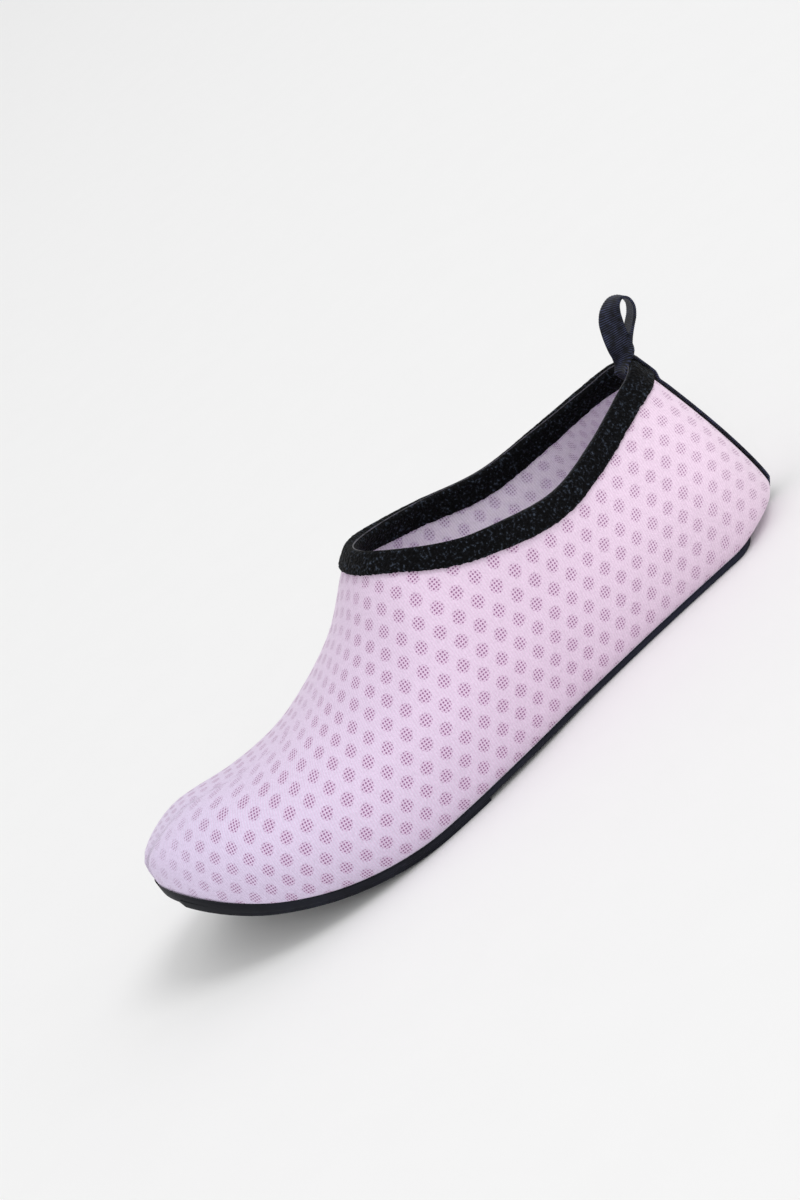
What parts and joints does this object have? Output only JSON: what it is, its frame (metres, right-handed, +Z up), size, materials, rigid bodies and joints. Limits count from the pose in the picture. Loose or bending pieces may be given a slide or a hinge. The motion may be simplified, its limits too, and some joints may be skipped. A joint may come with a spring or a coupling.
{
  "type": "yoga shoe",
  "caption": "Soft slip-on yoga shoe for the left foot with a bound collar, a heel tape with a pull loop, a foam insole and a thin ribbed rubber outsole.",
  "frame": {"origin": "middle of the shoe's bounding box in plan, on the floor under the sole", "axes": "+Z up, +Y towards the heel, -Y towards the toe, +X towards the outer side of the left foot"},
  "size_m": [0.0938, 0.2452, 0.0874],
  "materials": {
    "knit": "matt elastic knit",
    "binding": "black napped knit",
    "ribbon": "black ribbed ribbon with a slight sheen",
    "insole": "matt fabric over foam",
    "rubber": "satin black-navy rubber"
  },
  "bodies": {
    "root": {"outsole": "rubber", "insole": "insole", "upper": "knit", "collar_binding": "binding", "heel_tape": "ribbon", "pull_loop": "ribbon"}
  },
  "joints": []
}
